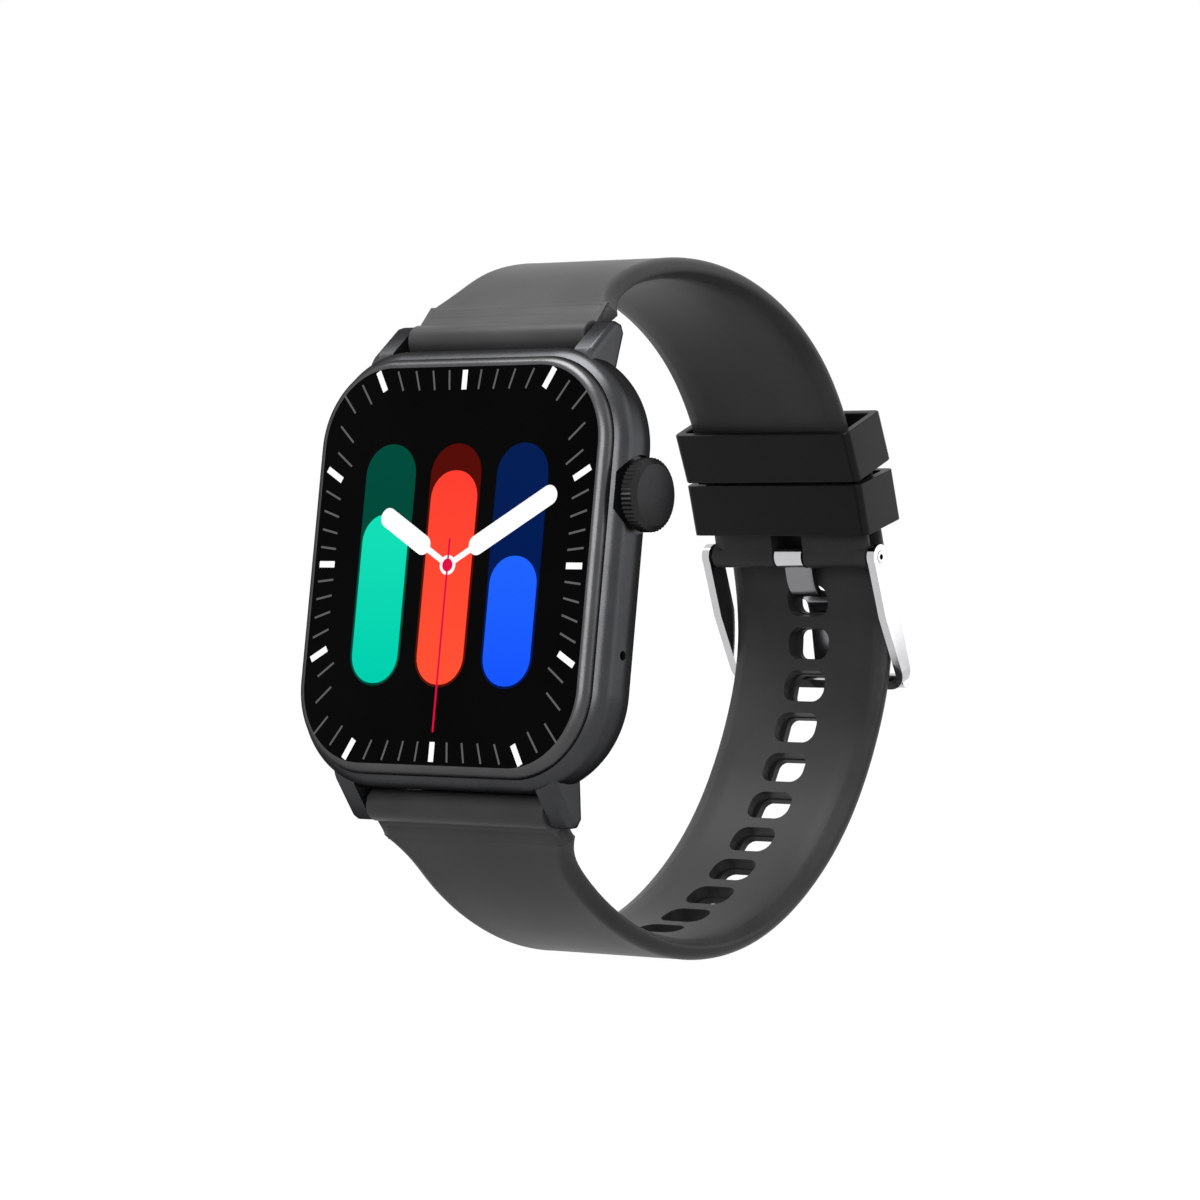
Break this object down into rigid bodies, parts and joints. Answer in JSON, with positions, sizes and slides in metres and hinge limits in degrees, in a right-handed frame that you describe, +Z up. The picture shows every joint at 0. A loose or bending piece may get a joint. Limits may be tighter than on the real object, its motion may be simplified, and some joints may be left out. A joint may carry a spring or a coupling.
{
  "type": "smartwatch",
  "caption": "Smartwatch with a rounded-rectangular metal case, flat glass, side crown and a black silicone strap closed by a steel tang buckle and two loops.",
  "frame": {"origin": "middle of the wrist that the closed watch goes round, halfway across the case", "axes": "+X towards the crown, -Y the way the dial faces but for an 8 degree lean, +Z up, towards twelve o'clock"},
  "size_m": [0.0394, 0.0668, 0.0692],
  "materials": {
    "case_metal": "satin dark anodised",
    "crown_metal": "satin dark anodised",
    "front_glass": "polished",
    "back_glass": "polished",
    "screen": "black, switched on",
    "adhesive": "matt",
    "back_plastic": "satin black",
    "circuit_board": "solder mask",
    "cell": "wrapped foil",
    "module": "matt",
    "plain_steel": "fine brushed",
    "contact_plate": "gold plated",
    "buckle_steel": "polished steel",
    "strap_rubber": "matt black silicone",
    "loop_rubber": "matt black silicone"
  },
  "bodies": {
    "case": {"case": "case_metal", "cover_glass": "front_glass", "glass_adhesive": "adhesive", "display_panel": "screen", "chassis": "plain_steel", "battery": "cell", "main_board": "circuit_board", "shield_can": "plain_steel", "vibration_motor": "plain_steel", "speaker": "module", "microphone": "module", "back_gasket": "adhesive", "back_cover": "back_plastic", "sensor_lens": "back_glass", "sensor_board": "circuit_board", "charging_contacts": "contact_plate", "back_screws": "plain_steel", "crown_tube": "plain_steel", "crown_switch": "module"},
    "push_plate": {"crown_plate": "plain_steel"},
    "crown": {"crown_cap": "crown_metal", "crown_stem": "plain_steel", "crown_seal": "adhesive", "crown_clip": "plain_steel"},
    "upper_strap": {"buckle_strap": "strap_rubber", "upper_bar_tube": "plain_steel", "upper_bar_tip": "plain_steel", "upper_bar_spring": "plain_steel", "buckle_pin": "buckle_steel"},
    "upper_release": {"upper_bar_lever": "plain_steel"},
    "lower_strap": {"tail_strap": "strap_rubber", "lower_bar_tube": "plain_steel", "lower_bar_tip": "plain_steel", "lower_bar_spring": "plain_steel"},
    "lower_release": {"lower_bar_lever": "plain_steel"},
    "buckle_frame": {"buckle_frame": "buckle_steel"},
    "buckle_tongue": {"buckle_tongue": "buckle_steel"},
    "lower_loop": {"lower_loop": "loop_rubber"},
    "upper_loop": {"upper_loop": "loop_rubber"}
  },
  "joints": [
    {"name": "crown_push", "type": "slide", "parent": "case", "child": "push_plate", "axis": [-1, 0, 0], "range_m": [0, 0.0004], "stiffness_N_per_m": 1500, "springref_m": -0.001},
    {"name": "crown_turn", "type": "hinge", "parent": "push_plate", "child": "crown", "pos_m": [0, -0.02501, 0.01097], "axis": [1, 0, 0], "continuous": true},
    {"name": "upper_strap_swing", "type": "hinge", "parent": "case", "child": "upper_strap", "pos_m": [0, -0.02183, 0.02623], "axis": [1, 0, 0], "range_deg": [-0.096, 0.096]},
    {"name": "lower_strap_swing", "type": "hinge", "parent": "case", "child": "lower_strap", "pos_m": [0, -0.02827, -0.01912], "axis": [1, 0, 0], "range_deg": [-0.2, 0.2]},
    {"name": "upper_release_slide", "type": "slide", "parent": "upper_strap", "child": "upper_release", "axis": [1, 0, 0], "range_m": [0, 0.0012], "stiffness_N_per_m": 800, "springref_m": -0.0015, "deforming": ["upper_bar_spring"]},
    {"name": "lower_release_slide", "type": "slide", "parent": "lower_strap", "child": "lower_release", "axis": [1, 0, 0], "range_m": [0, 0.0012], "stiffness_N_per_m": 800, "springref_m": -0.0015, "deforming": ["lower_bar_spring"]},
    {"name": "buckle_frame_play", "type": "hinge", "parent": "upper_strap", "child": "buckle_frame", "pos_m": [0, 0.02605, 0.00489], "axis": [1, 0, 0], "range_deg": [-0.3, 1.5]},
    {"name": "buckle_tongue_play", "type": "hinge", "parent": "upper_strap", "child": "buckle_tongue", "pos_m": [0, 0.02605, 0.00489], "axis": [1, 0, 0], "range_deg": [-0.3, 1.5]},
    {"name": "lower_loop_slide", "type": "hinge", "parent": "upper_strap", "child": "lower_loop", "pos_m": [0, -0.03301, -0.00656], "axis": [1, 0, 0], "range_deg": [-0.762, 0.19]},
    {"name": "upper_loop_slide", "type": "hinge", "parent": "upper_strap", "child": "upper_loop", "pos_m": [0, -0.00802, 0.00326], "axis": [1, 0, 0], "range_deg": [-0.34, 10.32]}
  ],
  "couplings": [
    {"joint": "upper_strap_swing", "follows": "lower_strap_swing", "ratio": -0.4749},
    {"joint": "buckle_tongue_play", "follows": "buckle_frame_play", "ratio": 1}
  ]
}
